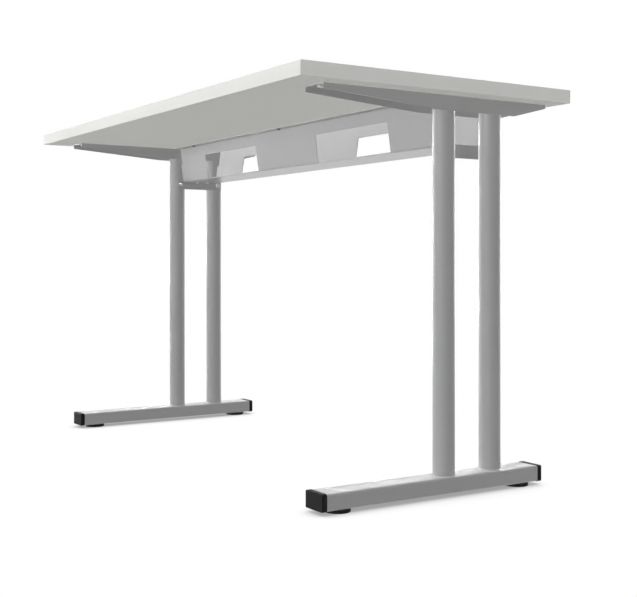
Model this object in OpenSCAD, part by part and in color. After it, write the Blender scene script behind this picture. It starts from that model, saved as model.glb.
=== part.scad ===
// Desk on two C-shaped steel legs, with a folded steel cable tray under the desktop.
// X runs to the user's right, Y to the back and Z up; the user sits at the -Y side.
// The origin lies on the floor, under the middle of the desktop. All sizes are in millimetres.

/* [Desktop] */
// Width of the desktop, left to right
top_w = 1200; // [900:10:1800]
// Depth of the desktop, front to back
top_d = 600; // [560:10:900]
// Thickness of the desktop
top_t = 25; // [22:1:38]
// Height of the desktop's upper face above the floor
desk_h = 740; // [650:5:850]
// Thickness of the plastic edge band
band_t = 2; // [1:0.1:3]
// Rounding along the long corners of the edge band
band_r = 0.8; // [0.2:0.1:0.9]

/* [Columns] */
// Distance from the desktop's end to the middle of the leg
leg_inset = 62; // [45:1:120]
// Distance from the desktop's rear edge to the rear column's axis
column_setback = 144; // [130:2:170]
// Distance between the axes of the two columns of a leg
column_pitch = 110; // [100:1:140]
// Outer diameter of a column
column_d = 40; // [32:1:45]
// Wall of the column tube
column_wall = 2; // [1.5:0.1:3]
// Leg length of the fillet weld round each column end
weld_leg = 2.4; // [1.5:0.1:4]

/* [Feet] */
// Width of the foot tube
foot_w = 50; // [46:1:60]
// Height of the foot tube
foot_h = 29; // [25:1:40]
// Wall of the foot tube
foot_wall = 2; // [1.5:0.1:3]
// Outer corner radius of the foot tube
foot_r = 4; // [3.2:0.1:6]
// Distance from the desktop's front edge to the foot's front end
foot_inset_front = 66; // [30:1:160]
// Distance from the desktop's rear edge to the foot's rear end
foot_inset_rear = 37; // [10:1:50]
// Thickness of the visible end of a foot cap
cap_t = 9.6; // [6:0.1:12]
// How far a foot cap stands out past the tube, all round
cap_proud = 0.8; // [0:0.1:1.5]
// Rounding of a foot cap's outer edges
cap_r = 1.6; // [1:0.1:4]
// Length of the cap's spigot inside the tube
spigot_len = 18; // [12:1:24]
// Wall of the cap's spigot
spigot_wall = 1.8; // [1.2:0.1:2.6]
// Play between the spigot's ribs and the tube
spigot_play = 0.15; // [0.05:0.05:0.4]
// Height of the ribs round the spigot
spigot_rib_h = 0.7; // [0.3:0.1:1]
// Thickness of each rib round the spigot
spigot_rib_t = 1.2; // [0.8:0.1:2]

/* [Levelling feet] */
// Diameter of the levelling pad
pad_d = 47; // [32:1:48]
// Height of the levelling pad
pad_h = 7; // [5:0.5:10]
// Diameter of the raised hub on the pad
pad_hub_d = 26; // [20:1:28]
// Height of the hub above the pad's rim
pad_step = 1; // [0.4:0.1:1.5]
// Thickness of the pad under the stud's end
pad_seat = 2.8; // [2:0.1:3.5]
// Number of gripping flutes round the pad
pad_flutes = 12; // [6:1:18]
// Diameter of a gripping flute
flute_d = 4; // [2:0.5:6]
// Gap between the pad and the foot tube when screwed right in
pad_gap = 0.3; // [0.2:0.1:1]
// Distance from the foot's front end to the front pad's axis
pad_inset_front = 47; // [46:1:70]
// Distance from the foot's rear end to the rear pad's axis
pad_inset_rear = 42; // [40:1:60]
// Diameter of the threaded stud
stud_d = 8; // [6:1:10]
// Radial play between stud and nut, and between stud and pad
stud_play = 0.06; // [0.02:0.01:0.1]
// Play above the stud, under the tube's upper wall
stud_top_play = 3; // [2:0.5:5]
// Diameter of the thread insert in the foot tube
insert_d = 13; // [12:0.5:16]
// Height of the thread insert above the tube's lower wall
insert_h = 9; // [6:0.5:12]
// Diameter of the thread insert's flange inside the tube
insert_flange_d = 18; // [17:0.5:22]
// Thickness of the thread insert's flange
insert_flange_t = 1.5; // [1:0.1:2.5]

/* [Support arms] */
// Width of the support arm over its two walls
arm_w = 55; // [52:1:64]
// Sheet thickness of the support arm
arm_sheet = 2; // [1.5:0.1:3]
// Inner bend radius of the support arm
arm_bend = 1; // [0.5:0.1:3]
// Distance from the desktop's front edge to the arm's front tip
arm_inset_front = 67; // [30:1:160]
// Distance from the desktop's rear edge to the arm's rear tip
arm_inset_rear = 29; // [10:1:50]
// Depth of the arm over the columns
arm_depth = 27.5; // [20:0.5:40]
// Depth of the arm at its front tip
arm_tip_front = 10; // [7:0.5:18]
// Depth of the arm at its rear tip
arm_tip_rear = 8; // [7:0.5:18]
// Length of full depth in front of the front column's axis
arm_shoulder_front = 37; // [25:1:60]
// Length of full depth behind the rear column's axis
arm_shoulder_rear = 36; // [25:1:60]
// Rounding of the arm's tips, seen from the side
arm_tip_r = 2; // [0.5:0.5:4]
// Distance from an arm's tip to its outermost screw
arm_screw_inset = 12; // [9:1:30]
// Distance from the front column's axis to the arm screw in front of it
arm_screw_offset = 70; // [50:1:85]

/* [Cable tray] */
// Sheet thickness of the tray
tray_sheet = 1.5; // [1:0.1:2]
// Inner bend radius of the tray panels
tray_bend = 1.5; // [0.5:0.1:3]
// Depth of the tray under the desktop
tray_depth = 87; // [70:1:120]
// Width of the tray floor, over the two panels
tray_floor_w = 97.5; // [86:0.5:100]
// Width of the tray at the desktop, over the two panels
tray_mouth_w = 122.5; // [105:0.5:130]
// Width of the flanges that are screwed to the desktop
tray_flange = 15; // [12:1:25]
// Width of the panel's lip that lies on the tray floor
tray_lip = 12; // [8:1:16]
// Play between the tray's upper ends and the arms
tray_arm_play = 3.5; // [2:0.5:8]
// Height below the arm at which the tray steps out to its full length
tray_step_drop = 13; // [5:1:25]
// Play between the tray's lower ends and the tray brackets
tray_end_play = 0.5; // [0.3:0.1:2]
// Width of a cable window
window_w = 250; // [150:10:300]
// Height of a cable window above the tray floor
window_h = 60; // [40:1:62]
// Distance between the middles of the cable windows
window_pitch = 500; // [400:10:600]
// Corner radius of a cable window
window_r = 1.5; // [0.5:0.5:10]
// Distance from the tray's end to the first flange screw
flange_screw_inset = 95; // [40:5:120]
// Least distance between the flange screws
flange_screw_pitch = 400; // [200:10:500]

/* [Tray brackets] */
// Height of the bracket bar between the columns
bar_h = 25; // [20:1:40]
// Thickness of the bracket
bar_t = 3; // [2:0.5:5]
// Length of the bar beyond each column's axis
bar_over = 9; // [8:0.5:16]
// Height of the bar's upper edge above the tray's underside
bar_rise = 6.5; // [3:0.5:9]
// Length of the bracket's tab on the tray floor, front to back
tab_len = 56; // [40:1:66]
// How far the tab reaches onto the tray floor
tab_d = 26; // [22:1:40]
// Distance from the tab's free end to its screws
tab_screw_inset = 10; // [8:0.5:11]

/* [Fasteners] */
// Nominal diameter of the machine screws
screw_d = 6; // [5:1:8]
// Radial play of a machine screw in its hole
screw_play = 0.3; // [0.1:0.1:0.6]
// Head diameter of the machine screws, in screw diameters
head_ratio = 1.8; // [1.6:0.1:2]
// Head height of the machine screws
head_h = 3.2; // [2:0.1:4]
// Depth of the hexagon socket in a screw head
socket_depth = 1.8; // [1:0.1:1.9]
// Depth of the thread sleeves in the desktop
sleeve_h = 13; // [8:1:16]
// Outer diameter of the thread sleeves in the desktop
sleeve_d = 10; // [9:0.5:12]
// Diameter of the chipboard screws that hold the tray
wood_d = 4; // [3:0.5:5]
// Length of the chipboard screws in the desktop
wood_len = 15; // [10:1:18]
// Head diameter of the chipboard screws
wood_head_d = 9; // [8:0.5:11]
// Head height of the chipboard screws
wood_head_h = 2.4; // [1.5:0.1:3]
// Outer diameter of the rivet nuts in the columns
rivet_d = 9; // [8.5:0.5:11]
// Length of the rivet nuts inside the columns
rivet_len = 12; // [8:1:16]
// Diameter of the screws between tray and bracket
tray_screw_d = 5; // [4:1:6]

/* [Hidden] */
$fn = 48;

board_colour = "#e6e7e3";
band_colour = "#dfe0dc";
silver = "#b4b4b4";
plastic_black = "#1c1c1c";
zinc = "#c3c6c8";
screw_black = "#3a3a3a";

fit = 0.02;        // gap of parts that are pressed or screwed tight
through = 1;       // how far a cutter reaches past the face that it cuts
arc_steps = 6;     // straight steps in each bend of the sheet parts
end_play = 2;      // free depth that a screw leaves in its hole
sleeve_end = 1;    // closed end of a thread sleeve
screw_stand = 1;   // length of a screw that stands out of its nut
wood_tip = 2;      // length of a chipboard screw's point
rib_count = 3;     // ribs round a cap's spigot
flute_depth = 0.8; // depth of a gripping flute

// Shares of a screw head: its outer face, its hexagon socket, and the arms of a cross recess
face_share = 0.72;
socket_share = 0.42;
cross_len_share = 0.45;
cross_w_share = 0.12;

// A nut's height and width across corners, in screw diameters, and its height on the tray screws
nut_h_ratio = 0.8;
nut_d_ratio = 1.84;
nut_h = tray_screw_d * nut_h_ratio;

// Levels, from the floor up
foot_z = pad_h + pad_gap;
foot_top_z = foot_z + foot_h;
under_z = desk_h - top_t;
tray_floor_z = under_z - tray_depth + tray_sheet;
panel_h = under_z - tray_floor_z;
bar_z = under_z - tray_depth + bar_rise - bar_h;
screw_line_z = bar_z + bar_h / 2;
column_top_z = under_z - arm_sheet;

// Places across and along the desk
leg_x = top_w / 2 - leg_inset;
rear_column_y = top_d / 2 - column_setback;
front_column_y = rear_column_y - column_pitch;
tray_y = (front_column_y + rear_column_y) / 2;
foot_y0 = -top_d / 2 + foot_inset_front;
foot_y1 = top_d / 2 - foot_inset_rear;
pad_ys = [foot_y0 + pad_inset_front, foot_y1 - pad_inset_rear];
arm_y0 = -top_d / 2 + arm_inset_front;
arm_y1 = top_d / 2 - arm_inset_rear;
bar_x = leg_x - column_d / 2;
tray_low_x = bar_x - bar_t - tray_end_play;
tray_high_x = min(leg_x - arm_w / 2 - tray_arm_play, tray_low_x);
step_z = panel_h - arm_depth - tray_step_drop;
tray_lean = atan((tray_mouth_w - tray_floor_w) / 2 / panel_h);

// Rows of windows and screws
window_count = max(1, floor(2 * tray_low_x / window_pitch));
window_xs = [for (i = [0 : window_count - 1]) (i - (window_count - 1) / 2) * window_pitch];
flange_span = 2 * (tray_high_x - flange_screw_inset);
flange_gaps = max(1, floor(flange_span / flange_screw_pitch));
flange_xs = [for (i = [0 : flange_gaps]) (i / flange_gaps - 0.5) * flange_span];
arm_screw_ys = [arm_y0 + arm_screw_inset, front_column_y - arm_screw_offset, tray_y,
                arm_y1 - arm_screw_inset];
tab_w = min(tab_len, tray_floor_w - 2 * (tray_lip + 2 * tray_sheet));
tray_screw_ys = [-tab_w / 4, tab_w / 4];
tray_screw_x = bar_x - bar_t - tab_d + tab_screw_inset;
flange_screw_y = tray_mouth_w / 2 + tray_flange / 2 + tray_sheet;

// Turn from heading a to heading b, between -180 and 180 degrees
function turn(a, b) = let (d = b - a) d > 180 ? d - 360 : d < -180 ? d + 360 : d;
function heading(p, q) = atan2(q.y - p.y, q.x - p.x);
function left_of(h) = [-sin(h), cos(h)];

// Stations along a folded sheet's centre line: its ends, and an arc of radius r at each corner
function stations(pts, r) = let (last = len(pts) - 1) concat(
  [[pts[0], heading(pts[0], pts[1])]],
  [for (i = [1 : last - 1])
    let (h0 = heading(pts[i - 1], pts[i]), a = turn(h0, heading(pts[i], pts[i + 1])), s = sign(a),
         start = pts[i] - r * tan(abs(a) / 2) * [cos(h0), sin(h0)], mid = start + s * r * left_of(h0))
      for (k = [0 : arc_steps]) let (h = h0 + a * k / arc_steps) [mid - s * r * left_of(h), h]],
  [[pts[last], heading(pts[last - 1], pts[last])]]);

// Section of a sheet of thickness t, folded along pts with inner bend radius r
module folded_sheet(pts, t, r) {
  line = stations(pts, r + t / 2);
  polygon(concat([for (s = line) s[0] + left_of(s[1]) * t / 2],
                 [for (i = [len(line) - 1 : -1 : 0]) line[i][0] - left_of(line[i][1]) * t / 2]));
}

// Rectangle with round corners, centred
module round_rect(w, h, r) {
  square([w - 2 * r, h], center = true);
  square([w, h - 2 * r], center = true);
  for (x = [-1, 1], y = [-1, 1]) translate([x * (w / 2 - r), y * (h / 2 - r)]) circle(r);
}

// Extrudes a section along X, centred: the section's x and y become Y and Z
module along_x(l) rotate([90, 0, 90]) linear_extrude(l, center = true) children();

// Extrudes a section along Y, centred: the section's x and y become X and Z
module along_y(l) rotate([90, 0, 0]) linear_extrude(l, center = true) children();

module at_side(side) translate([side * leg_x, 0, 0]) children();

// Desktop: a coated board with a plastic band on each edge
module desktop_board() color(board_colour) difference() {
  translate([-top_w / 2 + band_t, -top_d / 2 + band_t, under_z])
    cube([top_w - 2 * band_t, top_d - 2 * band_t, top_t]);
  for (side = [-1, 1], y = arm_screw_ys) translate([side * leg_x, y, under_z - through])
    cylinder(d = sleeve_d + 2 * fit, h = sleeve_h + through);
  for (end = [-1, 1], x = flange_xs) translate([x, tray_y + end * flange_screw_y, under_z - through])
    cylinder(d = wood_d + 2 * fit, h = wood_len + through);
}

// Section of an edge band: outwards is -x, and both outer corners are round
module band_section() difference() {
  square([band_t, top_t]);
  for (up = [0, 1]) translate([0, up * top_t]) mirror([0, up]) difference() {
    translate([-through, -through]) square(band_r + through);
    translate([band_r, band_r]) circle(band_r);
  }
}

module long_band(end) color(band_colour) scale([1, end, 1])
  translate([0, -top_d / 2, under_z]) along_x(top_w) band_section();

module short_band(side) color(band_colour) mirror([side > 0 ? 1 : 0, 0, 0])
  translate([-top_w / 2, 0, under_z]) along_y(top_d - 2 * band_t) band_section();

module column(side, y) color(silver) at_side(side) difference() {
  translate([0, y, foot_top_z]) cylinder(d = column_d, h = column_top_z - foot_top_z);
  translate([0, y, foot_top_z - through])
    cylinder(d = column_d - 2 * column_wall, h = column_top_z - foot_top_z + 2 * through);
  translate([0, y, screw_line_z]) rotate([0, -side * 90, 0]) cylinder(d = rivet_d + 2 * fit, h = column_d);
}

// One fillet weld round a column's end, lying on the level z; up is 1 above it and -1 below
module weld_ring(y, z, up) translate([0, y, z]) mirror([0, 0, up > 0 ? 0 : 1])
  rotate_extrude() polygon([[column_d / 2, 0], [column_d / 2 + weld_leg, 0], [column_d / 2, weld_leg]]);

module weld_seams(side) color(silver) at_side(side)
  for (y = [front_column_y, rear_column_y]) {
    weld_ring(y, foot_top_z, 1);
    weld_ring(y, column_top_z, -1);
  }

// Foot: a rectangular tube, drilled below for the two thread inserts
module foot_tube(side) color(silver) at_side(side) difference() {
  length = foot_y1 - foot_y0 - 2 * cap_t;
  inner_r = foot_r - foot_wall;
  translate([0, (foot_y0 + foot_y1) / 2, foot_z + foot_h / 2]) along_y(length) difference() {
    round_rect(foot_w, foot_h, foot_r);
    round_rect(foot_w - 2 * foot_wall, foot_h - 2 * foot_wall, inner_r);
  }
  for (y = pad_ys) translate([0, y, foot_z - through])
    cylinder(d = insert_d + 2 * fit, h = foot_wall + 2 * through);
}

// Foot cap: a rounded end and a hollow spigot with ribs; end is -1 at the front, 1 at the rear
module foot_cap(side, end) color(plastic_black) at_side(side)
  translate([0, end < 0 ? foot_y0 : foot_y1, foot_z + foot_h / 2]) mirror([0, end > 0 ? 1 : 0, 0]) {
    rib_w = foot_w - 2 * (foot_wall + spigot_play);
    rib_h = foot_h - 2 * (foot_wall + spigot_play);
    rib_r = foot_r - foot_wall;
    core_w = rib_w - 2 * spigot_rib_h;
    core_h = rib_h - 2 * spigot_rib_h;
    hollow_w = (core_w - 3 * spigot_wall) / 2;
    end_w = foot_w + 2 * cap_proud;
    end_h = foot_h + 2 * cap_proud;
    intersection() {
      translate([0, cap_t / 2, 0]) along_y(cap_t) round_rect(end_w, end_h, foot_r + cap_proud);
      translate([0, cap_t, 0]) along_x(end_w) round_rect(2 * cap_t, end_h, cap_r);
      translate([0, cap_t, 0]) linear_extrude(end_h, center = true) round_rect(end_w, 2 * cap_t, cap_r);
    }
    difference() {
      translate([0, cap_t, 0]) {
        translate([0, spigot_len / 2, 0]) along_y(spigot_len) round_rect(core_w, core_h, rib_r);
        for (i = [1 : rib_count]) translate([0, i * spigot_len / (rib_count + 1), 0])
          along_y(spigot_rib_t) round_rect(rib_w, rib_h, rib_r);
      }
      translate([0, cap_t + (spigot_len + through) / 2, 0]) along_y(spigot_len + through)
        for (x = [-1, 1]) translate([x * (hollow_w + spigot_wall) / 2, 0])
          square([hollow_w, core_h - 2 * spigot_wall], center = true);
    }
  }

// Thread insert in the tube's lower wall: a sleeve with a flange inside the tube
module thread_inserts(side) color(zinc) at_side(side) for (y = pad_ys) translate([0, y, foot_z])
  difference() {
    union() {
      cylinder(d = insert_d, h = foot_wall + insert_h);
      translate([0, 0, foot_wall]) cylinder(d = insert_flange_d, h = insert_flange_t);
    }
    translate([0, 0, -through]) cylinder(d = stud_d + 2 * stud_play, h = foot_wall + insert_h + 2 * through);
  }

module stud(side, y) color(zinc) at_side(side) translate([0, y, pad_seat]) {
  length = foot_top_z - foot_wall - stud_top_play - pad_seat;
  tip = stud_d / 8;
  rotate_extrude() polygon([[0, 0], [stud_d / 2, 0], [stud_d / 2, length - tip],
                            [stud_d / 2 - tip, length], [0, length]]);
}

// Levelling pad: a disc with a round rim, gripping flutes and a blind seat for the stud
module pad(side, y) color(plastic_black) at_side(side) translate([0, y, 0]) {
  rim_r = pad_h / 3;
  sole_r = rim_r / 2;
  difference() {
    rotate_extrude() difference() {
      union() {
        square([pad_d / 2 - rim_r, pad_h]);
        square([pad_d / 2, pad_h - rim_r]);
        translate([pad_d / 2 - rim_r, pad_h - rim_r]) circle(rim_r);
      }
      translate([pad_hub_d / 2, pad_h - pad_step]) square([pad_d, pad_h]);
      translate([pad_d / 2 - sole_r, -through]) difference() {
        square([pad_d, sole_r + through]);
        translate([0, sole_r + through]) circle(sole_r);
      }
    }
    translate([0, 0, pad_seat]) cylinder(d = stud_d + 2 * stud_play, h = pad_h);
    for (i = [0 : pad_flutes - 1]) rotate(i * 360 / pad_flutes)
      translate([(pad_d + flute_d) / 2 - flute_depth, 0, rim_r]) cylinder(d = flute_d, h = pad_h, $fn = 24);
  }
}

// Side outline of the arm: deep over the columns and tapering to both tips
module arm_outline() {
  front = arm_y0;
  rear = arm_y1;
  deep_front = front_column_y - arm_shoulder_front;
  deep_rear = rear_column_y + arm_shoulder_rear;
  difference() {
    polygon([[front, 0], [rear, 0], [rear, -arm_tip_rear], [deep_rear, -arm_depth],
             [deep_front, -arm_depth], [front, -arm_tip_front]]);
    for (tip = [[front, -arm_tip_front, 1], [rear, -arm_tip_rear, -1]])
      translate([tip.x, tip.y]) scale([tip.z, 1]) difference() {
        translate([-through, -through]) square([arm_tip_r + through, arm_tip_r + through]);
        translate([arm_tip_r, arm_tip_r]) circle(arm_tip_r);
      }
  }
}

// Arm: a pressed steel channel, open below, that carries the desktop on the two columns
module arm(side) color(silver) at_side(side) difference() {
  wall_x = (arm_w - arm_sheet) / 2;
  web_z = -arm_sheet / 2;
  translate([0, (arm_y0 + arm_y1) / 2, under_z]) along_y(arm_y1 - arm_y0)
    folded_sheet([[-wall_x, -arm_depth], [-wall_x, web_z], [wall_x, web_z], [wall_x, -arm_depth]],
                 arm_sheet, arm_bend);
  translate([0, 0, under_z]) along_x(arm_w + 2 * through) difference() {
    translate([arm_y0 - through, -arm_depth - through])
      square([arm_y1 - arm_y0 + 2 * through, arm_depth + 2 * through]);
    arm_outline();
    translate([arm_y0, -arm_sheet]) square([arm_y1 - arm_y0, arm_sheet + 2 * through]);
  }
  for (y = arm_screw_ys) translate([0, y, under_z - arm_sheet - through])
    cylinder(d = screw_d + 2 * screw_play, h = arm_sheet + 2 * through);
}

// Machine screw standing on its head: the head hangs below z = 0 and the shank rises above
module machine_screw(d, length) {
  head_d = d * head_ratio;
  difference() {
    union() {
      translate([0, 0, -head_h / 2]) cylinder(d = head_d, h = head_h / 2);
      translate([0, 0, -head_h]) cylinder(d1 = head_d * face_share, d2 = head_d, h = head_h / 2);
      cylinder(d = d, h = length);
    }
    translate([0, 0, -head_h - through])
      cylinder(d = head_d * socket_share, h = socket_depth + through, $fn = 6);
  }
}

module arm_screws(side) color(zinc) at_side(side) for (y = arm_screw_ys)
  translate([0, y, under_z - arm_sheet]) machine_screw(screw_d, arm_sheet + sleeve_h - end_play);

// Thread sleeves let into the underside of the board
module arm_sleeves(side) color(zinc) at_side(side) for (y = arm_screw_ys) translate([0, y, under_z])
  difference() {
    cylinder(d = sleeve_d, h = sleeve_h);
    translate([0, 0, -through]) cylinder(d = screw_d + 2 * fit, h = sleeve_h - sleeve_end + through);
  }

// Outline of one cable window, standing on the tray floor
module window_outline() translate([0, window_h / 2]) {
  round_rect(window_w, window_h, window_r);
  translate([0, -window_h / 4]) square([window_w, window_h / 2], center = true);
}

// Side panel of the tray: flange, leaning wall and lip; end is -1 at the front, 1 at the rear
module tray_panel(end) color(silver) translate([0, tray_y, tray_floor_z]) mirror([0, end > 0 ? 1 : 0, 0])
  difference() {
    half = tray_sheet / 2;
    shift = half / cos(tray_lean);
    foot_of_wall = -tray_floor_w / 2 + shift;
    top_of_wall = -tray_mouth_w / 2 + shift;
    along_x(2 * tray_low_x) folded_sheet(
      [[-tray_mouth_w / 2 - tray_flange, panel_h - half], [top_of_wall, panel_h - half],
       [foot_of_wall, half], [foot_of_wall + tray_lip, half]], tray_sheet, tray_bend);
    for (side = [-1, 1]) scale([side, 1, 1]) translate([tray_high_x, -tray_mouth_w, step_z])
      cube([tray_low_x, tray_mouth_w, panel_h]);
    for (x = window_xs) translate([x, -tray_mouth_w / 2, -through]) along_y(tray_mouth_w - tray_floor_w
      + 2 * (tray_sheet + tray_bend)) {
        window_outline();
        translate([-window_w / 2, 0]) square([window_w, window_h / 2 + through]);
      }
    for (x = flange_xs) translate([x, -flange_screw_y, panel_h - tray_sheet - through])
      cylinder(d = wood_d + 2 * screw_play, h = tray_sheet + 2 * through);
  }

// Floor of the tray, under the lips of the two panels
module tray_floor() color(silver) difference() {
  translate([-tray_low_x, tray_y - tray_floor_w / 2, tray_floor_z - tray_sheet])
    cube([2 * tray_low_x, tray_floor_w, tray_sheet]);
  for (side = [-1, 1], y = tray_screw_ys)
    translate([side * tray_screw_x, tray_y + y, tray_floor_z - tray_sheet - through])
      cylinder(d = tray_screw_d + 2 * screw_play, h = tray_sheet + 2 * through);
}

// Chipboard screws through the tray's flange, one row in one node
module flange_screws(end) color(screw_black) for (x = flange_xs)
  translate([x, tray_y + end * flange_screw_y, under_z - tray_sheet]) difference() {
    shank = tray_sheet + wood_len - end_play - wood_tip;
    union() {
      translate([0, 0, -wood_head_h])
        cylinder(d1 = wood_head_d * face_share, d2 = wood_head_d, h = wood_head_h);
      cylinder(d = wood_d, h = shank);
      translate([0, 0, shank]) cylinder(d1 = wood_d, d2 = wood_d / 4, h = wood_tip);
    }
    for (a = [0, 90]) rotate(a) translate([0, 0, -wood_head_h])
      cube([wood_head_d * cross_len_share, wood_head_d * cross_w_share, wood_head_h], center = true);
  }

// Tray bracket: an upright bar between the columns, with a welded tab that lies on the tray floor
module tray_bracket(side) color(silver) scale([side, 1, 1]) difference() {
  bar_len = column_pitch + 2 * bar_over;
  union() {
    translate([bar_x - bar_t / 2, tray_y, screw_line_z]) along_x(bar_t) round_rect(bar_len, bar_h, bar_t);
    translate([bar_x - bar_t - tab_d, tray_y - tab_w / 2, tray_floor_z]) cube([tab_d, tab_w, bar_t]);
  }
  for (y = [front_column_y, rear_column_y]) translate([bar_x - bar_t - through, y, screw_line_z])
    rotate([0, 90, 0]) cylinder(d = screw_d + 2 * screw_play, h = bar_t + 2 * through);
  for (y = tray_screw_ys) translate([tray_screw_x, tray_y + y, tray_floor_z - through])
    cylinder(d = tray_screw_d + 2 * screw_play, h = bar_t + 2 * through);
}

module bracket_screws(side) color(zinc) scale([side, 1, 1])
  for (y = [front_column_y, rear_column_y]) translate([bar_x - bar_t, y, screw_line_z])
    rotate([0, 90, 0]) machine_screw(screw_d, bar_t + column_wall + rivet_len - end_play);

// Rivet nuts in the inner side of the columns, their collars clamped under the bar
module rivet_nuts(side) color(zinc) scale([side, 1, 1])
  for (y = [front_column_y, rear_column_y]) translate([bar_x, y, screw_line_z]) rotate([0, 90, 0])
    difference() {
      cylinder(d = rivet_d, h = column_wall + rivet_len);
      translate([0, 0, -through]) cylinder(d = screw_d + 2 * fit, h = column_wall + rivet_len + 2 * through);
    }

module tray_screws(side) color(zinc)
  for (y = tray_screw_ys) translate([side * tray_screw_x, tray_y + y, tray_floor_z - tray_sheet])
    machine_screw(tray_screw_d, tray_sheet + bar_t + nut_h + screw_stand);

// Nuts on the brackets' tabs
module tray_nuts(side) color(zinc)
  for (y = tray_screw_ys) translate([side * tray_screw_x, tray_y + y, tray_floor_z + bar_t]) difference() {
    cylinder(d = tray_screw_d * nut_d_ratio, h = nut_h, $fn = 6);
    translate([0, 0, -through]) cylinder(d = tray_screw_d + 2 * fit, h = nut_h + 2 * through);
  }

desktop_board();
long_band(1);  // front_edge_band
long_band(-1);  // rear_edge_band
short_band(-1);  // left_edge_band
short_band(1);  // right_edge_band
tray_panel(-1);  // tray_front_panel
tray_panel(1);  // tray_rear_panel
tray_floor();
flange_screws(-1);  // front_flange_screws
flange_screws(1);  // rear_flange_screws
column(-1, front_column_y);  // left_front_column
column(-1, rear_column_y);  // left_rear_column
column(1, front_column_y);  // right_front_column
column(1, rear_column_y);  // right_rear_column
arm(-1);  // left_arm
arm(1);  // right_arm
arm_screws(-1);  // left_arm_screws
arm_screws(1);  // right_arm_screws
arm_sleeves(-1);  // left_arm_sleeves
arm_sleeves(1);  // right_arm_sleeves
foot_tube(-1);  // left_foot_tube
foot_tube(1);  // right_foot_tube
weld_seams(-1);  // left_weld_seams
weld_seams(1);  // right_weld_seams
foot_cap(-1, -1);  // left_front_cap
foot_cap(-1, 1);  // left_rear_cap
foot_cap(1, -1);  // right_front_cap
foot_cap(1, 1);  // right_rear_cap
thread_inserts(-1);  // left_thread_inserts
thread_inserts(1);  // right_thread_inserts
stud(-1, pad_ys[0]);  // left_front_stud
stud(-1, pad_ys[1]);  // left_rear_stud
stud(1, pad_ys[0]);  // right_front_stud
stud(1, pad_ys[1]);  // right_rear_stud
pad(-1, pad_ys[0]);  // left_front_pad
pad(-1, pad_ys[1]);  // left_rear_pad
pad(1, pad_ys[0]);  // right_front_pad
pad(1, pad_ys[1]);  // right_rear_pad
tray_bracket(-1);  // left_tray_bracket
tray_bracket(1);  // right_tray_bracket
bracket_screws(-1);  // left_bracket_screws
bracket_screws(1);  // right_bracket_screws
rivet_nuts(-1);  // left_rivet_nuts
rivet_nuts(1);  // right_rivet_nuts
tray_screws(-1);  // left_tray_screws
tray_screws(1);  // right_tray_screws
tray_nuts(-1);  // left_tray_nuts
tray_nuts(1);  // right_tray_nuts
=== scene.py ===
"""A desk on two C-shaped steel legs, with a folded steel cable tray, dressed for the camera.

All sizes are in metres. X runs to the user's right, Y to the back and Z up. The origin lies on the floor,
under the middle of the desktop, and every piece takes its place from the construction model in model.glb.
"""

import logging
import math
from collections.abc import Sequence
from dataclasses import dataclass, field
from enum import Enum

import bmesh
import bpy
from mathutils import Matrix, Vector


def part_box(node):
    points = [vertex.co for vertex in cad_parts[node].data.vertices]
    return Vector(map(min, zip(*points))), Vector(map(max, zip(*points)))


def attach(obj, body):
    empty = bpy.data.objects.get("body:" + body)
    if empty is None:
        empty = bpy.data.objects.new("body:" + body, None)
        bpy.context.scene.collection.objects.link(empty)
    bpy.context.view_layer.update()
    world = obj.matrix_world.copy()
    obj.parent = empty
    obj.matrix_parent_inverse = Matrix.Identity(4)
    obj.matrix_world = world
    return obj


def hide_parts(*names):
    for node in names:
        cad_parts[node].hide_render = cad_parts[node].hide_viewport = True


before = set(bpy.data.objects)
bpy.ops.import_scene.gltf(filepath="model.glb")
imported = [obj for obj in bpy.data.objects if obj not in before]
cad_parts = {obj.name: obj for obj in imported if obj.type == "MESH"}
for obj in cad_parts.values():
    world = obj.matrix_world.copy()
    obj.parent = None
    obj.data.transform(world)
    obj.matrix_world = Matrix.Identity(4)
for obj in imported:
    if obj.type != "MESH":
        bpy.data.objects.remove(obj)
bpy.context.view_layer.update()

MM = 0.001
MERGE = 0.002 * MM  # points closer than this are one point
FLAT = math.radians(0.2)  # faces that meet at less than this angle are one flat
CREASE = 35.0  # edges that bend by more than this many degrees stay sharp
BODY = "desk"
LOG = logging.getLogger("desk")
Colour = tuple[float, float, float, float]
Box = tuple[Vector, Vector]


class Side(Enum):
    """The desk's two ends, as the user sees them."""

    LEFT = "left"
    RIGHT = "right"


class End(Enum):
    """The two ends of a foot, and the two columns of a leg."""

    FRONT = "front"
    REAR = "rear"


class Slot(Enum):
    """The material slots that the record names."""

    MELAMINE = "melamine_board"
    EDGE = "edge_band"
    SILVER = "silver_powder_coat"
    PLASTIC = "black_plastic"
    ZINC = "zinc_steel"
    BLACK_SCREW = "black_screws"


class LampUse(Enum):
    """What a lamp is for."""

    KEY = "lights every surface and shows in the glossy ones"
    FILL = "lights every surface, and no glossy one mirrors it"
    SOFT_BOX = "shows in glossy surfaces only"


def linear(hex_colour: str) -> Colour:
    """Turns an sRGB colour into the linear values that a shader takes.

    Args:
        hex_colour: Six hex digits with a leading hash sign.

    Returns:
        Linear red, green and blue, and an alpha of 1.
    """
    parts = [int(hex_colour[i:i + 2], 16) / 255 for i in (1, 3, 5)]
    red, green, blue = (c / 12.92 if c <= 0.04045 else ((c + 0.055) / 1.055) ** 2.4 for c in parts)
    return red, green, blue, 1.0


def repeats(size_mm: float) -> float:
    """Gives a pattern's scale.

    Args:
        size_mm: The real size of one grain, cell or line, in millimetres.

    Returns:
        How many of them fit in one metre of Object coordinates.
    """
    return 1000.0 / size_mm


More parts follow.
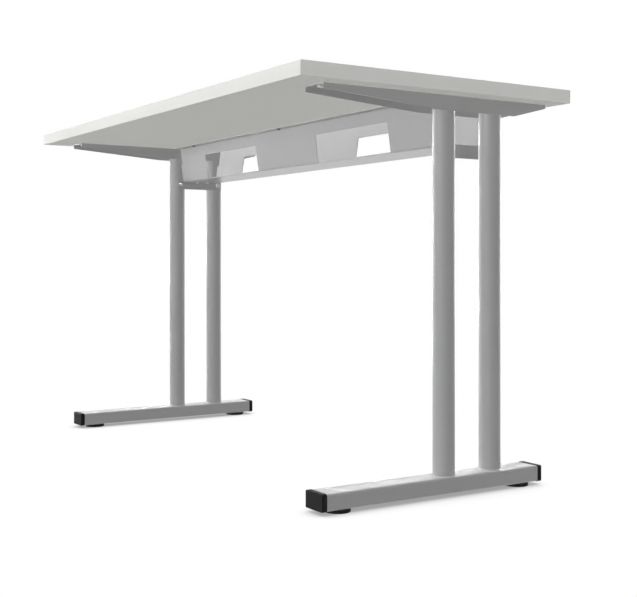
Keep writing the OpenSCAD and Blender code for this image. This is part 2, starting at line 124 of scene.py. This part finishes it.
def add_node(tree: bpy.types.NodeTree, kind: str, settings: dict | None = None,
             **inputs: object) -> bpy.types.Node:
    """Adds one node with its settings, values and links.

    Args:
        tree: The node tree that takes the node.
        kind: The node's type, without the words ShaderNode in front.
        settings: Attributes of the node itself, such as its blend type.
        **inputs: A value for each named socket, or a pair of node and output name to link it to. An
            underscore in a name stands for a space, and a name such as at_2 means the socket at that place.

    Returns:
        The new node.
    """
    node = tree.nodes.new("ShaderNode" + kind)
    for name, value in (settings or {}).items():
        setattr(node, name, value)
    for name, value in inputs.items():
        by_place = name.startswith("at_")
        socket = node.inputs[int(name.removeprefix("at_")) if by_place else name.replace("_", " ")]
        if isinstance(value, tuple) and isinstance(value[0], bpy.types.Node):
            tree.links.new(value[0].outputs[value[1]], socket)
        else:
            socket.default_value = value
    return node


@dataclass(frozen=True)
class Finish:
    """A surface finish with a base colour, gloss and grain.

    Attributes:
        name: The material's name, after the real finish.
        slot: The record's slot that the finish belongs to. Nothing in this script reads it.
        colour: The finish's usual colour, as sRGB hex.
        patch_colour: The colour that its patches drift to, as sRGB hex.
        patch_mm: Size of those patches.
        metallic: 1 for bare metal, 0 for plastic and paint, and a little under 1 for oxide on metal.
        gloss: Least and greatest roughness.
        grain_mm: Size of the surface's grain.
        grain_depth_mm: Depth of the grain.
        shine: Specular level, 0.5 for a smooth surface and less where the grain swallows reflections.
        lacquer: Weight of the clear layer that the finish forms over itself.
        lacquer_gloss: Roughness of that layer.
    """

    name: str
    slot: Slot
    colour: str
    patch_colour: str
    patch_mm: float
    metallic: float
    gloss: tuple[float, float]
    grain_mm: float
    grain_depth_mm: float
    shine: float = 0.5
    lacquer: float = 0.0
    lacquer_gloss: float = 0.1

    def pattern(self, tree: bpy.types.NodeTree, place: bpy.types.Node) -> bpy.types.Node:
        """Makes the node whose first output is the grain's height. Some finishes have their own."""
        return add_node(tree, "TexNoise", Vector=(place, "Object"), Scale=repeats(self.grain_mm), Detail=3.0)

    def material(self) -> bpy.types.Material:
        """Builds the material, or finds it if it was built before.

        Returns:
            The finish's material.
        """
        known = bpy.data.materials.get(self.name)
        if known:
            return known
        made = bpy.data.materials.new(self.name)
        made.use_nodes = True
        tree = made.node_tree
        tree.nodes.clear()
        place = add_node(tree, "TexCoord")
        patches = add_node(tree, "TexNoise", Vector=(place, "Object"), Scale=repeats(self.patch_mm),
                           Detail=4.0)
        grain = self.pattern(tree, place)
        colour = add_node(tree, "Mix", {"data_type": "RGBA"}, at_0=(patches, 0),
                          at_6=linear(self.colour), at_7=linear(self.patch_colour))
        gloss = add_node(tree, "MapRange", Value=(grain, 0), To_Min=self.gloss[0], To_Max=self.gloss[1])
        bump = add_node(tree, "Bump", Height=(grain, 0), Strength=1.0, Distance=self.grain_depth_mm * MM)
        shader = add_node(tree, "BsdfPrincipled", Base_Color=(colour, 2), Roughness=(gloss, 0),
                          Metallic=self.metallic, Specular_IOR_Level=self.shine, Coat_Weight=self.lacquer,
                          Coat_Roughness=self.lacquer_gloss, Normal=(bump, 0))
        add_node(tree, "OutputMaterial", Surface=(shader, 0))
        return made


@dataclass(frozen=True)
class FlakeCoat(Finish):
    """Powder coat with aluminium flakes, sprayed and baked.

    Attributes:
        flake_mm: Size of the glints, which are groups of flakes, since single ones are too fine to show.
        peel_share: Share of the orange peel in the surface's height.
    """

    flake_mm: float = 0.9
    peel_share: float = 0.7

    def pattern(self, tree: bpy.types.NodeTree, place: bpy.types.Node) -> bpy.types.Node:
        """Mixes the coat's orange peel with its glints.

        Args:
            tree: The material's node tree.
            place: The Texture Coordinate node.

        Returns:
            A node whose first output is the height.
        """
        peel = add_node(tree, "TexNoise", Vector=(place, "Object"), Scale=repeats(self.grain_mm), Detail=2.0)
        flakes = add_node(tree, "TexVoronoi", Vector=(place, "Object"), Scale=repeats(self.flake_mm))
        return add_node(tree, "Mix", Factor=1 - self.peel_share, A=(peel, 0), B=(flakes, 0))


@dataclass(frozen=True)
class DrawnFinish(Finish):
    """A finish whose marks run along the piece, such as a scraped edge band.

    Attributes:
        line_len_mm: Length of the marks along the piece.
    """

    line_len_mm: float = 90.0

    def pattern(self, tree: bpy.types.NodeTree, place: bpy.types.Node) -> bpy.types.Node:
        """Stretches the grain into level lines.

        Args:
            tree: The material's node tree.
            place: The Texture Coordinate node.

        Returns:
            A node whose first output is the height.
        """
        along, across = repeats(self.line_len_mm), repeats(self.grain_mm)
        stretched = add_node(tree, "Mapping", Vector=(place, "Object"), Scale=(along, along, across))
        return add_node(tree, "TexNoise", Vector=(stretched, 0), Scale=1.0, Detail=2.0)


# Melamine-faced chipboard, pressed against a fine pearl plate: pale, satin, with a close even grain
MELAMINE = Finish(
    name="pressed melamine facing", slot=Slot.MELAMINE,
    colour="#E2E3DE", patch_colour="#DFE0DB", patch_mm=70.0,
    metallic=0.0, gloss=(0.55, 0.68), shine=0.2, grain_mm=1.6, grain_depth_mm=0.03,
)

# ABS edge band, milled flush and scraped: a little glossier than the board, with faint lines along it
ABS_EDGE = DrawnFinish(
    name="scraped ABS edge band", slot=Slot.EDGE,
    colour="#E3E4E0", patch_colour="#E1E2DE", patch_mm=120.0,
    metallic=0.0, gloss=(0.45, 0.55), shine=0.2, grain_mm=0.7, grain_depth_mm=0.012,
)

# Polyester powder coat with aluminium flakes on steel: an even grey under its own clear layer, with orange
# peel and small glints, and with a strong sheen where it is seen at a shallow angle
SILVER_COAT = FlakeCoat(
    name="baked silver powder coat", slot=Slot.SILVER,
    colour="#959595", patch_colour="#929292", patch_mm=45.0,
    metallic=0.0, gloss=(0.38, 0.46), shine=0.3, grain_mm=2.6, grain_depth_mm=0.02,
    lacquer=0.7, lacquer_gloss=0.25,
)

# Polypropylene, moulded in a spark-eroded tool: black with a soft even sheen
BLACK_PP = Finish(
    name="moulded black polypropylene", slot=Slot.PLASTIC,
    colour="#1A1A1A", patch_colour="#1D1D1D", patch_mm=12.0,
    metallic=0.0, gloss=(0.40, 0.55), shine=0.04, grain_mm=0.8, grain_depth_mm=0.03,
)

# Zinc plate on steel, passivated clear: bright and slightly cloudy
ZINC_PLATE = Finish(
    name="zinc-plated steel", slot=Slot.ZINC,
    colour="#B0B4B6", patch_colour="#A3A8AB", patch_mm=5.0,
    metallic=1.0, gloss=(0.28, 0.40), grain_mm=1.2, grain_depth_mm=0.008,
)

# Steel screws, blackened and oiled: dark with a dull metal sheen
BLACK_OXIDE = Finish(
    name="blackened steel", slot=Slot.BLACK_SCREW,
    colour="#3A3A3B", patch_colour="#2E2E30", patch_mm=4.0,
    metallic=0.9, gloss=(0.32, 0.46), grain_mm=0.9, grain_depth_mm=0.01,
)

# A leg's fittings that keep the construction model's shape
INNER_FITTINGS = ("arm_sleeves", "rivet_nuts", "thread_inserts", "tray_nuts")


def refined(node: str) -> bmesh.types.BMesh:
    """Copies a construction node as one clean skin.

    Args:
        node: The node's name.

    Returns:
        A bmesh with its doubles merged and its flat faces joined.
    """
    bm = bmesh.new()
    bm.from_mesh(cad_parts[node].data)
    bmesh.ops.remove_doubles(bm, verts=bm.verts, dist=MERGE)
    bmesh.ops.dissolve_limit(bm, angle_limit=FLAT, verts=bm.verts, edges=bm.edges)
    return bm


def revolved(profile: Sequence[tuple[float, float]], closed: bool, steps: int = 96) -> bmesh.types.BMesh:
    """Turns a profile once round the Z axis.

    Args:
        profile: Radius and height of each point.
        closed: Whether the last point joins the first, as in a tube's wall.
        steps: Faces round the full turn.

    Returns:
        A bmesh of the turned shape, with its normals outwards.
    """
    bm = bmesh.new()
    verts = [bm.verts.new((radius, 0, height)) for radius, height in profile]
    pairs = list(zip(verts, verts[1:])) + ([(verts[-1], verts[0])] if closed else [])
    edges = [bm.edges.new(pair) for pair in pairs]
    bmesh.ops.spin(bm, geom=verts + edges, cent=(0, 0, 0), axis=(0, 0, 1), dvec=(0, 0, 0), angle=math.tau,
                   steps=steps, use_merge=True, use_duplicate=False)
    bmesh.ops.remove_doubles(bm, verts=bm.verts, dist=MERGE)
    bmesh.ops.recalc_face_normals(bm, faces=bm.faces)
    return bm


def solids(node: str) -> list[Box]:
    """Finds the box of each separate solid in a construction node.

    Args:
        node: The node's name.

    Returns:
        The lowest and highest corner of each solid, in order of their place.
    """
    bm = refined(node)
    waiting = set(bm.verts)
    boxes = []
    while waiting:
        reached = [waiting.pop()]
        for vert in reached:  # the list grows until the walk has been all over the solid
            for edge in vert.link_edges:
                other = edge.other_vert(vert)
                if other in waiting:
                    waiting.remove(other)
                    reached.append(other)
        spans = list(zip(*(vert.co for vert in reached)))
        boxes.append((Vector(map(min, spans)), Vector(map(max, spans))))
    bm.free()
    return sorted(boxes, key=lambda box: tuple(box[0]))


def joined(parts: Sequence[bmesh.types.BMesh]) -> bmesh.types.BMesh:
    """Puts several shapes into one bmesh.

    Args:
        parts: The shapes, which are freed here.

    Returns:
        A bmesh of them all.
    """
    whole = bmesh.new()
    for part in parts:
        mesh = bpy.data.meshes.new("part")
        part.to_mesh(mesh)
        part.free()
        whole.from_mesh(mesh)
        bpy.data.meshes.remove(mesh)
    return whole


@dataclass(frozen=True)
class ButtonScrew:
    """A machine screw with a domed head and a hexagon socket.

    Attributes:
        head_h: Height of the head, as in the construction model.
        head_ratio: Head diameter in screw diameters, as in the construction model.
        flat_share: Radius of the flat round the socket, as a share of the head's radius.
        rim: Height of the head's upright rim.
        socket_share: Half the socket's width across its flats, as a share of the head's radius.
        socket_depth: Depth of the socket.
        chamfer: Chamfer at the end of the shank.
        dome_steps: Straight steps in the dome.
        steps: Faces round the screw.
    """

    head_h: float = 3.2 * MM
    head_ratio: float = 1.8
    flat_share: float = 0.5
    rim: float = 0.5 * MM
    socket_share: float = 0.364
    socket_depth: float = 1.8 * MM
    chamfer: float = 0.5 * MM
    dome_steps: int = 8
    steps: int = 48

    def shape(self, box: Box, axis: Vector) -> bmesh.types.BMesh:
        """Makes one screw at its place.

        Args:
            box: The box that the screw fills.
            axis: Direction from its head to its tip, along X or Z.

        Returns:
            The screw as a bmesh.
        """
        low, high = box
        middle, reach = (low + high) / 2, (high - low) / 2
        head_r, length = reach.y, 2 * abs(reach.dot(axis))
        shank, flat, socket = head_r / self.head_ratio, head_r * self.flat_share, head_r * self.socket_share
        dome_h = self.head_h - self.rim
        profile = [(0.0, self.socket_depth), (socket, self.socket_depth), (socket, 0.0), (flat, 0.0)]
        for step in range(1, self.dome_steps + 1):
            angle = math.radians(90 * step / self.dome_steps)
            profile.append((flat + (head_r - flat) * math.sin(angle), dome_h * (1 - math.cos(angle))))
        profile += [(head_r, self.head_h), (shank, self.head_h), (shank, length - self.chamfer),
                    (shank - self.chamfer, length), (0.0, length)]
        bm = revolved(profile, closed=False, steps=self.steps)
        sixth = math.radians(60)
        for vert in bm.verts:
            if abs(math.hypot(vert.co.x, vert.co.y) - socket) < MERGE and vert.co.z <= self.socket_depth:
                off_flat = (math.atan2(vert.co.y, vert.co.x) + sixth / 2) % sixth - sixth / 2
                vert.co.xy = vert.co.xy / math.cos(off_flat)
        turn = Vector((0, 0, 1)).rotation_difference(axis).to_matrix().to_4x4()
        bm.transform(Matrix.Translation(middle - axis * length / 2) @ turn)
        return bm


@dataclass
class SubAssembly:
    """What every sub-assembly does: it makes pieces, dresses them and sets them on their body."""

    made: list[str] = field(default_factory=list, init=False)

    def piece(self, name: str, bm: bmesh.types.BMesh, finish: Finish, nodes: Sequence[str], body: str = BODY,
              crease: float = CREASE, soften_mm: float = 0.0) -> bpy.types.Object:
        """Turns a bmesh into a finished piece of the desk.

        Args:
            name: The piece's name.
            bm: Its shape, at its place in the frame. It is freed here.
            finish: What it is finished with.
            nodes: The construction nodes that it stands for.
            body: The body that it rides on.
            crease: Angle in degrees above which an edge stays sharp.
            soften_mm: Rounding of its sharp edges, or 0 for none.

        Returns:
            The piece's object.
        """
        mesh = bpy.data.meshes.new(name)
        bm.to_mesh(mesh)
        bm.free()
        mesh.shade_smooth()
        obj = bpy.data.objects.new(name, mesh)
        bpy.context.scene.collection.objects.link(obj)
        if soften_mm:
            rounding = obj.modifiers.new("rounded edges", "BEVEL")
            rounding.width = soften_mm * MM
            rounding.segments = 2
            rounding.limit_method = "ANGLE"
            rounding.angle_limit = math.radians(crease)
            rounding.harden_normals = True
        else:
            mesh.set_sharp_from_angle(angle=math.radians(crease))
        flats = obj.modifiers.new("even flats", "WEIGHTED_NORMAL")
        flats.mode = "FACE_AREA"
        flats.keep_sharp = True
        mesh.materials.append(finish.material())
        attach(obj, body)
        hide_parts(*nodes)
        self.made.append(name)
        LOG.info("%s: %s, on %s", name, finish.name, body)
        return obj

    def dress(self, node: str, finish: Finish, soften_mm: float = 0.0, body: str = BODY,
              crease: float = CREASE) -> bpy.types.Object:
        """Makes a finished piece with the shape of a construction node."""
        return self.piece(f"{node}_finished", refined(node), finish, [node], body, crease, soften_mm)

    def screws(self, node: str, axis: Vector) -> bpy.types.Object:
        """Makes a button-head screw for each solid of a node, where axis points from heads to tips."""
        shapes = [ButtonScrew().shape(box, axis) for box in solids(node)]
        return self.piece(f"{node}_domed", joined(shapes), ZINC_PLATE, [node])

    def coat(self, node: str, finish: Finish) -> None:
        """Gives a construction node that stays its finish.

        Args:
            node: The node's name.
            finish: What it is finished with.
        """
        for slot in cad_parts[node].material_slots:
            slot.material = finish.material()
        LOG.info("%s: %s, kept as it is", node, finish.name)


@dataclass
class Desktop(SubAssembly):
    """The coated board and its four edge bands.

    Attributes:
        board_edge_mm: Rounding of the board's own edges, which shows as the joint beside a band.
        band_crease: Angle in degrees above which a band's edge stays sharp.
    """

    board_edge_mm: float = 0.15
    band_crease: float = 50.0

    def build(self) -> None:
        """Makes the board and its bands."""
        self.dress("desktop_board", MELAMINE, self.board_edge_mm)
        for place in ("front", "rear", "left", "right"):
            self.dress(f"{place}_edge_band", ABS_EDGE, crease=self.band_crease)


@dataclass
class CableTray(SubAssembly):
    """The two folded panels, the floor under them and the screws through their flanges.

    Attributes:
        sheet_edge_mm: Rounding that the coat gives the sheet's cut edges.
        head_edge_mm: Rounding of the edges of a flange screw's head.
    """

    sheet_edge_mm: float = 0.2
    head_edge_mm: float = 0.12

    def build(self) -> None:
        """Makes the tray's sheet parts and its flange screws."""
        for node in ("tray_front_panel", "tray_rear_panel", "tray_floor"):
            self.dress(node, SILVER_COAT, self.sheet_edge_mm)
        for end in End:
            self.dress(f"{end.value}_flange_screws", BLACK_OXIDE, self.head_edge_mm)


@dataclass
class Leg(SubAssembly):
    """One C-shaped leg: foot, two columns, support arm, tray bracket and fittings.

    Attributes:
        side: Which end of the desk it carries.
        column_wall: Wall of a column tube.
        sheet_edge_mm: Rounding that the coat gives cut edges.
        bead_line: Outline of a weld, as shares of its leg out from the column and along it.
        ripple_mm: Depth of the ripples in a weld.
        ripples: Number of ripples round a column.
        ripple_steps: Faces in each ripple.
        tube_crease: Angle in degrees above which an edge of the foot tube stays sharp.
        cap_crease: The same angle for the caps.
        bead_crease: The same angle for the welds.
    """

    side: Side
    column_wall: float = 2 * MM
    sheet_edge_mm: float = 0.2
    bead_line: tuple[tuple[float, float], ...] = ((0, 0), (1, 0), (0.62, 0.34), (0.3, 0.66), (0, 1))
    ripple_mm: float = 0.15
    ripples: int = 46
    ripple_steps: int = 4
    tube_crease: float = 40.0
    cap_crease: float = 50.0
    bead_crease: float = 60.0

    def node(self, part: str) -> str:
        """Gives the full name of one of this leg's nodes."""
        return f"{self.side.value}_{part}"

    def column(self, end: End) -> None:
        """Makes one column, a smooth round tube.

        Args:
            end: Which of the two columns.
        """
        name = self.node(f"{end.value}_column")
        low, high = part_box(name)
        outer = (high.x - low.x) / 2
        inner = outer - self.column_wall
        bm = revolved([(outer, low.z), (outer, high.z), (inner, high.z), (inner, low.z)], closed=True)
        bmesh.ops.translate(bm, verts=bm.verts, vec=((low.x + high.x) / 2, (low.y + high.y) / 2, 0))
        self.piece(f"{name}_tube", bm, SILVER_COAT, [name])

    def bead(self, radius: float, leg: float, up: int) -> bmesh.types.BMesh:
        """Makes one fillet weld round the Z axis, with the ripples of the weld pool.

        Args:
            radius: Radius of the column that it goes round.
            leg: Leg of the weld.
            up: 1 where the weld rises along the column, -1 where it hangs down along it.

        Returns:
            The weld as a bmesh.
        """
        line = [(radius + leg * out, up * leg * rise) for out, rise in self.bead_line]
        bm = revolved(line, closed=True, steps=self.ripples * self.ripple_steps)
        for vert in bm.verts:
            angle = math.atan2(vert.co.y, vert.co.x)
            out = math.hypot(vert.co.x, vert.co.y) - radius
            wave = 0.5 - 0.5 * math.cos(self.ripples * angle)
            share = 1 - self.ripple_mm * MM / leg * wave
            vert.co.xy = vert.co.xy * (radius + out * share) / (radius + out)
        return bm

    def welds(self) -> None:
        """Makes the welds at both ends of both columns."""
        beads = []
        for end in End:
            low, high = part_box(self.node(f"{end.value}_column"))
            centre = Vector(((low.x + high.x) / 2, (low.y + high.y) / 2, 0))
            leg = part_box(self.node("weld_seams"))[1].x - high.x
            for level, up in ((low.z, 1), (high.z, -1)):
                bead = self.bead((high.x - low.x) / 2, leg, up)
                bmesh.ops.translate(bead, verts=bead.verts, vec=centre + Vector((0, 0, level)))
                beads.append(bead)
        self.piece(self.node("weld_beads"), joined(beads), SILVER_COAT, [self.node("weld_seams")],
                   crease=self.bead_crease)

    def build(self) -> None:
        """Makes the whole leg."""
        self.dress(self.node("foot_tube"), SILVER_COAT, crease=self.tube_crease)
        for end in End:
            self.column(end)
            self.dress(self.node(f"{end.value}_cap"), BLACK_PP, crease=self.cap_crease)
        self.welds()
        self.dress(self.node("arm"), SILVER_COAT, self.sheet_edge_mm)
        self.dress(self.node("tray_bracket"), SILVER_COAT, self.sheet_edge_mm)
        upwards = Vector((0, 0, 1))
        outwards = Vector((-1 if self.side is Side.LEFT else 1, 0, 0))
        self.screws(self.node("arm_screws"), upwards)
        self.screws(self.node("tray_screws"), upwards)
        self.screws(self.node("bracket_screws"), outwards)
        for fitting in INNER_FITTINGS:
            self.coat(self.node(fitting), ZINC_PLATE)


@dataclass
class LevellingFoot(SubAssembly):
    """One levelling foot: a moulded pad on a threaded stud.

    Attributes:
        side: Which leg it stands under.
        end: Which end of that leg's foot.
        pitch: Pitch of the stud's thread.
        thread_depth: Depth of the thread.
        crest_span: Where the flat crest of the thread starts and ends, as shares of the pitch.
        steps: Faces in each turn of the thread.
    """

    side: Side
    end: End
    pitch: float = 1.25 * MM
    thread_depth: float = 0.72 * MM
    crest_span: tuple[float, float] = (0.42, 0.58)
    steps: int = 24

    def stud(self) -> None:
        """Makes the stud with a true screw thread, closed at both ends.

        The thread is wound one turn past each end of the stud and then cut off level.
        """
        name = f"{self.side.value}_{self.end.value}_stud"
        low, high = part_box(name)
        crest = (high.x - low.x) / 2
        root = crest - self.thread_depth
        turns = math.ceil((high.z - low.z) / self.pitch) + 2
        start = low.z - self.pitch
        rises, falls = self.crest_span
        points = [(root, 0.0), (crest, rises), (crest, falls), (root, 1.0)]
        bm = bmesh.new()
        verts = [bm.verts.new((radius, 0, start + share * self.pitch)) for radius, share in points]
        edges = [bm.edges.new(pair) for pair in zip(verts, verts[1:])]
        bmesh.ops.spin(bm, geom=verts + edges, cent=(0, 0, 0), axis=(0, 0, 1),
                       dvec=(0, 0, self.pitch / self.steps), angle=math.tau * turns,
                       steps=self.steps * turns, use_merge=False, use_duplicate=False)
        bmesh.ops.remove_doubles(bm, verts=bm.verts, dist=MERGE)
        for height, up in ((low.z, -1), (high.z, 1)):
            skin = bm.verts[:] + bm.edges[:] + bm.faces[:]
            cut = bmesh.ops.bisect_plane(bm, geom=skin, plane_co=(0, 0, height), plane_no=(0, 0, up),
                                         clear_outer=True)
            rim = [item for item in cut["geom_cut"] if isinstance(item, bmesh.types.BMEdge)]
            bmesh.ops.holes_fill(bm, edges=rim, sides=0)
        bmesh.ops.recalc_face_normals(bm, faces=bm.faces)
        bmesh.ops.translate(bm, verts=bm.verts, vec=((low.x + high.x) / 2, (low.y + high.y) / 2, 0))
        self.piece(f"{name}_thread", bm, ZINC_PLATE, [name], name)

    def build(self) -> None:
        """Makes the pad and the stud."""
        pad = f"{self.side.value}_{self.end.value}_pad"
        self.dress(pad, BLACK_PP, body=pad)
        self.stud()


@dataclass(frozen=True)
class Lamp:
    """A broad, far and soft lamp, which lights every piece alike and throws no shadow.

    Attributes:
        name: The lamp's name.
        towards: Direction from the desk to the lamp.
        level: How brightly it lights a surface that faces it, where 1 shows a colour as it is written.
        spread: How wide it looks from the desk, in degrees.
        use: What it is for.
    """

    name: str
    towards: tuple[float, float, float]
    level: float
    spread: float
    use: LampUse

    def build(self) -> None:
        """Hangs the lamp."""
        light = bpy.data.lights.new(self.name, "SUN")
        light.energy = self.level * math.pi  # a sun of strength pi shows a facing surface's colour as written
        light.angle = math.radians(self.spread)
        light.use_shadow = False
        light.cycles.use_multiple_importance_sampling = False
        obj = bpy.data.objects.new(self.name, light)
        obj.visible_glossy = self.use is not LampUse.FILL
        obj.visible_diffuse = self.use is not LampUse.SOFT_BOX
        obj.rotation_euler = (-Vector(self.towards)).to_track_quat("-Z", "Y").to_euler()
        bpy.context.scene.collection.objects.link(obj)


@dataclass(frozen=True)
class Shadow:
    """A soft shadow that the floor keeps close to the feet.

    Attributes:
        reach: How far from the feet it reaches.
        level: How bright the floor stays where it is deepest.
        span: How much of the sky a place on the floor sees where the shadow is deepest, and where it ends.
        curve: How fast it fades, 1 for evenly.
        samples: Rays that look at the sky from each place.
    """

    reach: float
    level: float
    span: tuple[float, float]
    curve: float
    samples: int = 16

    def shade(self, tree: bpy.types.NodeTree) -> bpy.types.Node:
        """Works out how bright the floor is.

        Args:
            tree: The node tree of the floor's material.

        Returns:
            A node whose first output is 1 outside the shadow.
        """
        deepest, end = self.span
        near = add_node(tree, "AmbientOcclusion", {"samples": self.samples}, Distance=self.reach)
        open_share = add_node(tree, "MapRange", Value=(near, "AO"), From_Min=deepest, From_Max=end)
        faded = add_node(tree, "Math", {"operation": "POWER"}, at_0=(open_share, 0), at_1=self.curve)
        return add_node(tree, "MapRange", Value=(faded, 0), To_Min=self.level, To_Max=1.0)


@dataclass
class Studio:
    """Camera, lamps, white surroundings and the floor that keeps the desk's shadow.

    Attributes:
        eye: The camera's place, worked out from the photograph's vanishing points.
        yaw: Its turn about Z, in degrees. It looks level.
        focal_px: Focal length in pixels of the photograph.
        frame_px: The photograph's width and height.
        axis_px: Where the camera's axis meets the photograph, which the framing shifts from its middle.
        sensor_mm: Width of the camera's sensor.
        sight: How far the camera sees.
        lamps: The lamps round the desk.
        ambient: Level of the soft light from all round.
        bounce: Level of the light that the pale floor sends up to the desk.
        floor_size: Width of the floor.
        shadows: The floor's soft shadows, a wide one and the dark core close to the feet.
    """

    eye: tuple[float, float, float] = (2.0161, -1.2166, 0.4230)
    yaw: float = 58.87
    focal_px: float = 1067.8
    frame_px: tuple[int, int] = (637, 597)
    axis_px: tuple[float, float] = (267.4, 259.7)
    sensor_mm: float = 36.0
    sight: float = 100.0
    lamps: tuple[Lamp, ...] = (
        Lamp("front lamp", (0.0, -0.93, 0.36), 0.31, 30, LampUse.KEY),
        Lamp("left lamp", (-0.76, -0.25, 0.60), 0.35, 40, LampUse.KEY),
        Lamp("left rim lamp", (-0.994, 0.107, 0.15), 0.24, 30, LampUse.KEY),
        Lamp("rear rim lamp", (-0.307, 0.951, 0.15), 0.12, 30, LampUse.KEY),
        Lamp("front soft box", (-0.24, -0.97, 0.0), 0.59, 134, LampUse.SOFT_BOX),
        Lamp("left soft box", (-0.87, -0.24, 0.42), 0.10, 50, LampUse.SOFT_BOX),
        Lamp("rear soft box", (-0.76, 0.49, 0.42), 0.14, 56, LampUse.SOFT_BOX),
        Lamp("sky fill", (0.0, 0.0, 1.0), 0.41, 180, LampUse.FILL),
        Lamp("floor fill", (0.0, 0.0, -1.0), 0.285, 180, LampUse.FILL),
    )
    ambient: float = 0.26
    bounce: float = 0.20
    floor_size: float = 30.0
    shadows: tuple[Shadow, ...] = (
        Shadow(0.11, 0.46, (0.05, 0.87), 0.8),
        Shadow(0.03, 0.72, (0.30, 0.85), 1.0),
    )

    def camera(self) -> None:
        """Sets the camera at the photograph's place."""
        data = bpy.data.cameras.new("camera")
        data.sensor_width = self.sensor_mm
        data.lens = data.sensor_width * self.focal_px / self.frame_px[0]
        data.shift_x = (self.frame_px[0] / 2 - self.axis_px[0]) / self.frame_px[0]
        data.shift_y = (self.axis_px[1] - self.frame_px[1] / 2) / self.frame_px[0]
        data.clip_end = self.sight
        obj = bpy.data.objects.new("camera", data)
        obj.location = self.eye
        obj.rotation_euler = (math.radians(90), 0, math.radians(self.yaw))
        bpy.context.scene.collection.objects.link(obj)
        bpy.context.scene.camera = obj

    def seen(self, tree: bpy.types.NodeTree) -> bpy.types.Node:
        """Tells the rays that show the background from those that light the desk.

        Args:
            tree: The node tree that takes the nodes.

        Returns:
            A node whose first output is 1 for camera, glossy and transmission rays.
        """
        path = add_node(tree, "LightPath")
        either = add_node(tree, "Math", {"operation": "MAXIMUM"}, at_0=(path, "Is Camera Ray"),
                          at_1=(path, "Is Glossy Ray"))
        return add_node(tree, "Math", {"operation": "MAXIMUM"}, at_0=(either, 0),
                        at_1=(path, "Is Transmission Ray"))

    def world(self) -> None:
        """Makes the surroundings white to the eye and soft to the desk."""
        world = bpy.data.worlds.new("white studio")
        world.use_nodes = True
        tree = world.node_tree
        tree.nodes.clear()
        seen = self.seen(tree)
        level = add_node(tree, "MapRange", Value=(seen, 0), To_Min=self.ambient, To_Max=1.0)
        light = add_node(tree, "Background", Color=(1, 1, 1, 1), Strength=(level, 0))
        add_node(tree, "OutputWorld", Surface=(light, 0))
        bpy.context.scene.world = world

    def floor(self) -> None:
        """Lays the pale floor, which shows white but for the soft shadow close to the feet."""
        bm = bmesh.new()
        bmesh.ops.create_grid(bm, x_segments=1, y_segments=1, size=self.floor_size / 2)
        mesh = bpy.data.meshes.new("floor")
        bm.to_mesh(mesh)
        bm.free()
        obj = bpy.data.objects.new("floor", mesh)
        bpy.context.scene.collection.objects.link(obj)
        paint = bpy.data.materials.new("pale studio floor")
        paint.use_nodes = True
        tree = paint.node_tree
        tree.nodes.clear()
        shade = self.shadows[0].shade(tree)
        for shadow in self.shadows[1:]:
            shade = add_node(tree, "Math", {"operation": "MULTIPLY"}, at_0=(shade, 0),
                             at_1=(shadow.shade(tree), 0))
        shown = add_node(tree, "Emission", Color=(1, 1, 1, 1), Strength=(shade, 0))
        level = add_node(tree, "MapRange", Value=(self.seen(tree), 0), To_Min=self.bounce, To_Max=1.0)
        sent = add_node(tree, "Emission", Color=(1, 1, 1, 1), Strength=(level, 0))
        path = add_node(tree, "LightPath")
        both = add_node(tree, "MixShader", at_0=(path, "Is Camera Ray"), at_1=(sent, 0), at_2=(shown, 0))
        add_node(tree, "OutputMaterial", Surface=(both, 0))
        mesh.materials.append(paint)

    def build(self) -> None:
        """Sets up the whole studio."""
        bpy.context.scene.view_settings.view_transform = "Standard"
        self.camera()
        self.world()
        self.floor()
        for lamp in self.lamps:
            lamp.build()


def main() -> None:
    """Builds the desk in order."""
    logging.basicConfig(level=logging.INFO, format="%(message)s")
    Studio().build()
    parts: list[SubAssembly] = [Desktop(), CableTray()]
    parts += [Leg(side) for side in Side]
    parts += [LevellingFoot(side, end) for side in Side for end in End]
    for part in parts:
        part.build()
        LOG.info("%s: %d pieces", type(part).__name__, len(part.made))


if __name__ == "__main__":
    main()
